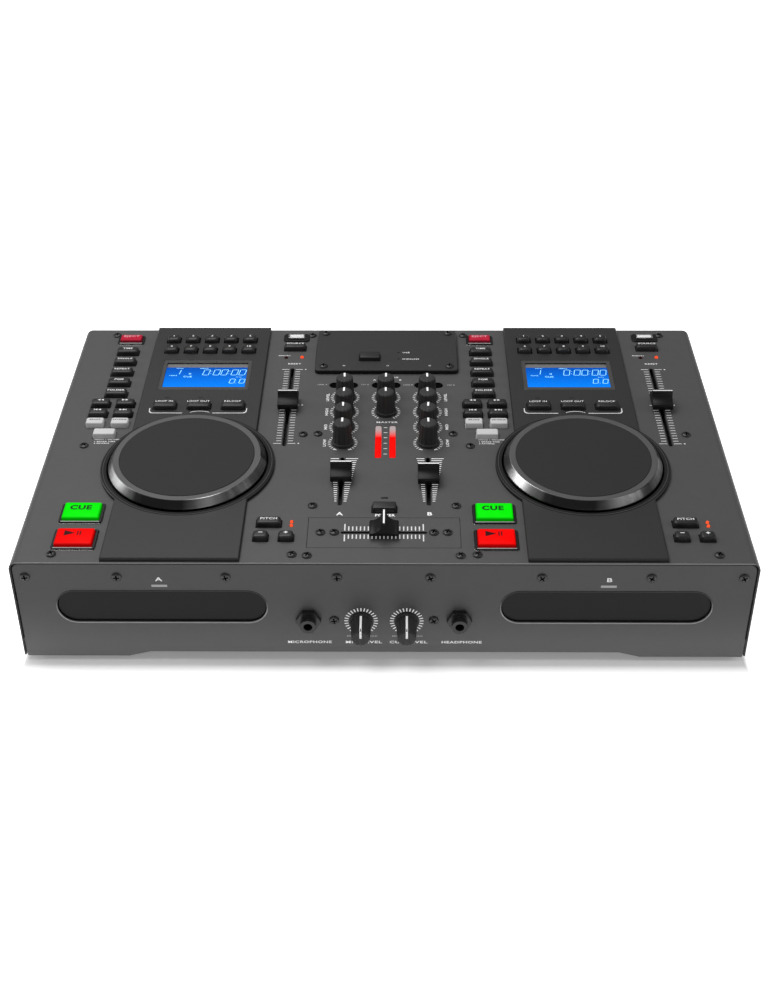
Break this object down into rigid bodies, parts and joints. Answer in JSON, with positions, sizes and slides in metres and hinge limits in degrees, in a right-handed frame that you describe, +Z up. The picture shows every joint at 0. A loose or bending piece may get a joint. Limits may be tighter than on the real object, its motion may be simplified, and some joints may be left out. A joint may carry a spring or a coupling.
{
  "type": "dual disc player with built-in mixer",
  "caption": "Table-top console for disc jockeys: disc trays in the front, jog wheels, pitch faders and keypads on a sloping top, and a mixer with knobs, faders and level meters in between.",
  "frame": {"origin": "on the surface that the feet stand on, midway along the whole width and depth, from the tips of the front knobs to the tips of the rear sockets", "axes": "+Z up, +X to the right of the user, who is on the -Y side"},
  "size_m": [0.53, 0.35, 0.1186],
  "materials": {
    "powder_coat": "satin dark grey powder coat",
    "plate_steel": "zinc plated steel, satin",
    "rubber_foot": "matt black",
    "deck_plastic": "fine-grained dark grey",
    "frame_plastic": "half-gloss black",
    "window": "clear window",
    "display": "lit blue liquid-crystal display",
    "drive_plastic": "moulded black",
    "circuit_board": "green solder mask",
    "supply_parts": "wound and potted parts on a board",
    "socket_steel": "tin plated",
    "jack_plastic": "black",
    "socket_plastic": "black with plated sleeves",
    "inlet_plastic": "black",
    "lamp": "tinted clear plastic, lit",
    "tray_plastic": "moulded dark grey",
    "jog_plastic": "fine-grained dark grey",
    "ring_aluminium": "spun and brushed, grey flat",
    "fader_plastic": "black, white line",
    "knob_plastic": "black, white line",
    "key_rubber": "dark grey, printed, some light grey",
    "eject_plastic": "pink tinted",
    "cue_plastic": "green tinted, lit",
    "play_plastic": "red tinted, lit"
  },
  "bodies": {
    "console": {"base_chassis": "plate_steel", "front_panel": "powder_coat", "rear_panel": "powder_coat", "top_cover": "powder_coat", "feet": "rubber_foot", "deck_panel_a": "deck_plastic", "deck_panel_b": "deck_plastic", "module_plate": "deck_plastic", "crossfader_plate": "powder_coat", "panel_frames": "frame_plastic", "display_windows": "window", "displays": "display", "disc_drive_a": "drive_plastic", "disc_drive_b": "drive_plastic", "mixer_board": "circuit_board", "deck_boards": "circuit_board", "power_supply": "supply_parts", "usb_sockets": "socket_steel", "front_jacks": "jack_plastic", "rear_sockets": "socket_plastic", "mains_inlet": "inlet_plastic", "lamps": "lamp"},
    "tray_a": {"disc_tray_a": "tray_plastic"},
    "jog_a": {"jog_wheel_a": "jog_plastic", "jog_ring_a": "ring_aluminium"},
    "pitch_a": {"pitch_fader_a": "fader_plastic"},
    "channel_a": {"channel_fader_a": "fader_plastic"},
    "tray_b": {"disc_tray_b": "tray_plastic"},
    "jog_b": {"jog_wheel_b": "jog_plastic", "jog_ring_b": "ring_aluminium"},
    "pitch_b": {"pitch_fader_b": "fader_plastic"},
    "channel_b": {"channel_fader_b": "fader_plastic"},
    "cross": {"crossfader": "fader_plastic"},
    "master_control": {"master_knob": "knob_plastic"},
    "phones_control": {"phones_knob": "knob_plastic"},
    "gain_control_a": {"gain_knob_a": "knob_plastic"},
    "high_control_a": {"high_knob_a": "knob_plastic"},
    "mid_control_a": {"mid_knob_a": "knob_plastic"},
    "low_control_a": {"low_knob_a": "knob_plastic"},
    "gain_control_b": {"gain_knob_b": "knob_plastic"},
    "high_control_b": {"high_knob_b": "knob_plastic"},
    "mid_control_b": {"mid_knob_b": "knob_plastic"},
    "low_control_b": {"low_knob_b": "knob_plastic"},
    "mic_control": {"mic_knob": "knob_plastic"},
    "cue_control": {"cue_knob": "knob_plastic"},
    "source_a": {"selector_a": "fader_plastic"},
    "source_phones": {"selector_phones": "fader_plastic"},
    "source_b": {"selector_b": "fader_plastic"},
    "eject_a": {"eject_key_a": "eject_plastic"},
    "cue_a": {"cue_key_a": "cue_plastic"},
    "play_a": {"play_key_a": "play_plastic"},
    "side_keys_a": {"cover_keypad_a": "key_rubber"},
    "pad_keys_a": {"deck_keypad_a": "key_rubber"},
    "eject_b": {"eject_key_b": "eject_plastic"},
    "cue_b": {"cue_key_b": "cue_plastic"},
    "play_b": {"play_key_b": "play_plastic"},
    "side_keys_b": {"cover_keypad_b": "key_rubber"},
    "pad_keys_b": {"deck_keypad_b": "key_rubber"},
    "centre_keys": {"mixer_keys": "key_rubber"},
    "power_switch": {"power_rocker": "inlet_plastic"}
  },
  "joints": [
    {"name": "tray_a_slide", "type": "slide", "parent": "console", "child": "tray_a", "axis": [0, -1, 0], "range_m": [0, 0.135]},
    {"name": "jog_a_spin", "type": "hinge", "parent": "console", "child": "jog_a", "pos_m": [-0.15107, -0.03967, 0.09506], "axis": [0, -0.0349, 0.9994], "continuous": true},
    {"name": "pitch_a_slide", "type": "slide", "parent": "console", "child": "pitch_a", "axis": [0, 0.9994, 0.0349], "range_m": [-0.05, 0.05]},
    {"name": "channel_a_slide", "type": "slide", "parent": "console", "child": "channel_a", "axis": [0, 0.9994, 0.0349], "range_m": [-0.0309, 0.0211]},
    {"name": "tray_b_slide", "type": "slide", "parent": "console", "child": "tray_b", "axis": [0, -1, 0], "range_m": [0, 0.135]},
    {"name": "jog_b_spin", "type": "hinge", "parent": "console", "child": "jog_b", "pos_m": [0.15107, -0.03967, 0.09506], "axis": [0, -0.0349, 0.9994], "continuous": true},
    {"name": "pitch_b_slide", "type": "slide", "parent": "console", "child": "pitch_b", "axis": [0, 0.9994, 0.0349], "range_m": [-0.05, 0.05]},
    {"name": "channel_b_slide", "type": "slide", "parent": "console", "child": "channel_b", "axis": [0, 0.9994, 0.0349], "range_m": [-0.0284, 0.0236]},
    {"name": "crossfader_slide", "type": "slide", "parent": "console", "child": "cross", "axis": [1, 0, 0], "range_m": [-0.027, 0.027]},
    {"name": "master_turn", "type": "hinge", "parent": "console", "child": "master_control", "pos_m": [0, 0.05677, 0.09842], "axis": [0, -0.0349, 0.9994], "range_deg": [-140, 140]},
    {"name": "phones_turn", "type": "hinge", "parent": "console", "child": "phones_control", "pos_m": [0, 0.03538, 0.09768], "axis": [0, -0.0349, 0.9994], "range_deg": [-140, 140]},
    {"name": "gain_turn_a", "type": "hinge", "parent": "console", "child": "gain_control_a", "pos_m": [-0.0335, 0.05677, 0.09842], "axis": [0, -0.0349, 0.9994], "range_deg": [-140, 140]},
    {"name": "high_turn_a", "type": "hinge", "parent": "console", "child": "high_control_a", "pos_m": [-0.0335, 0.03538, 0.09768], "axis": [0, -0.0349, 0.9994], "range_deg": [-140, 140]},
    {"name": "mid_turn_a", "type": "hinge", "parent": "console", "child": "mid_control_a", "pos_m": [-0.0335, 0.0139, 0.09693], "axis": [0, -0.0349, 0.9994], "range_deg": [-140, 140]},
    {"name": "low_turn_a", "type": "hinge", "parent": "console", "child": "low_control_a", "pos_m": [-0.0335, -0.00829, 0.09615], "axis": [0, -0.0349, 0.9994], "range_deg": [-140, 140]},
    {"name": "gain_turn_b", "type": "hinge", "parent": "console", "child": "gain_control_b", "pos_m": [0.0335, 0.05677, 0.09842], "axis": [0, -0.0349, 0.9994], "range_deg": [-140, 140]},
    {"name": "high_turn_b", "type": "hinge", "parent": "console", "child": "high_control_b", "pos_m": [0.0335, 0.03538, 0.09768], "axis": [0, -0.0349, 0.9994], "range_deg": [-140, 140]},
    {"name": "mid_turn_b", "type": "hinge", "parent": "console", "child": "mid_control_b", "pos_m": [0.0335, 0.0139, 0.09693], "axis": [0, -0.0349, 0.9994], "range_deg": [-140, 140]},
    {"name": "low_turn_b", "type": "hinge", "parent": "console", "child": "low_control_b", "pos_m": [0.0335, -0.00829, 0.09615], "axis": [0, -0.0349, 0.9994], "range_deg": [-140, 140]},
    {"name": "mic_turn", "type": "hinge", "parent": "console", "child": "mic_control", "pos_m": [-0.0165, -0.155, 0.0374], "axis": [0, -1, 0], "range_deg": [-140, 140]},
    {"name": "cue_turn", "type": "hinge", "parent": "console", "child": "cue_control", "pos_m": [0.0165, -0.155, 0.0374], "axis": [0, -1, 0], "range_deg": [-140, 140]},
    {"name": "source_a_slide", "type": "slide", "parent": "console", "child": "source_a", "axis": [1, 0, 0], "range_m": [-0.006, 0.006]},
    {"name": "source_phones_slide", "type": "slide", "parent": "console", "child": "source_phones", "axis": [1, 0, 0], "range_m": [-0.006, 0.006]},
    {"name": "source_b_slide", "type": "slide", "parent": "console", "child": "source_b", "axis": [1, 0, 0], "range_m": [-0.006, 0.006]},
    {"name": "eject_a_press", "type": "slide", "parent": "console", "child": "eject_a", "axis": [0, 0.0349, -0.9994], "range_m": [0, 0.001], "stiffness_N_per_m": 1200, "springref_m": -0.0008},
    {"name": "cue_a_press", "type": "slide", "parent": "console", "child": "cue_a", "axis": [0, 0.0349, -0.9994], "range_m": [0, 0.001], "stiffness_N_per_m": 1200, "springref_m": -0.0008},
    {"name": "play_a_press", "type": "slide", "parent": "console", "child": "play_a", "axis": [0, 0.0349, -0.9994], "range_m": [0, 0.001], "stiffness_N_per_m": 1200, "springref_m": -0.0008},
    {"name": "side_keys_a_press", "type": "slide", "parent": "console", "child": "side_keys_a", "axis": [0, 0.0349, -0.9994], "range_m": [0, 0.001], "stiffness_N_per_m": 1200, "springref_m": -0.0008},
    {"name": "pad_keys_a_press", "type": "slide", "parent": "console", "child": "pad_keys_a", "axis": [0, 0.0349, -0.9994], "range_m": [0, 0.001], "stiffness_N_per_m": 1200, "springref_m": -0.0008},
    {"name": "eject_b_press", "type": "slide", "parent": "console", "child": "eject_b", "axis": [0, 0.0349, -0.9994], "range_m": [0, 0.001], "stiffness_N_per_m": 1200, "springref_m": -0.0008},
    {"name": "cue_b_press", "type": "slide", "parent": "console", "child": "cue_b", "axis": [0, 0.0349, -0.9994], "range_m": [0, 0.001], "stiffness_N_per_m": 1200, "springref_m": -0.0008},
    {"name": "play_b_press", "type": "slide", "parent": "console", "child": "play_b", "axis": [0, 0.0349, -0.9994], "range_m": [0, 0.001], "stiffness_N_per_m": 1200, "springref_m": -0.0008},
    {"name": "side_keys_b_press", "type": "slide", "parent": "console", "child": "side_keys_b", "axis": [0, 0.0349, -0.9994], "range_m": [0, 0.001], "stiffness_N_per_m": 1200, "springref_m": -0.0008},
    {"name": "pad_keys_b_press", "type": "slide", "parent": "console", "child": "pad_keys_b", "axis": [0, 0.0349, -0.9994], "range_m": [0, 0.001], "stiffness_N_per_m": 1200, "springref_m": -0.0008},
    {"name": "centre_keys_press", "type": "slide", "parent": "console", "child": "centre_keys", "axis": [0, 0.0349, -0.9994], "range_m": [0, 0.001], "stiffness_N_per_m": 1200, "springref_m": -0.0008},
    {"name": "power_tip", "type": "hinge", "parent": "console", "child": "power_switch", "pos_m": [0.146, 0.161, 0.048], "axis": [1, 0, 0], "range_deg": [0, 20]}
  ]
}
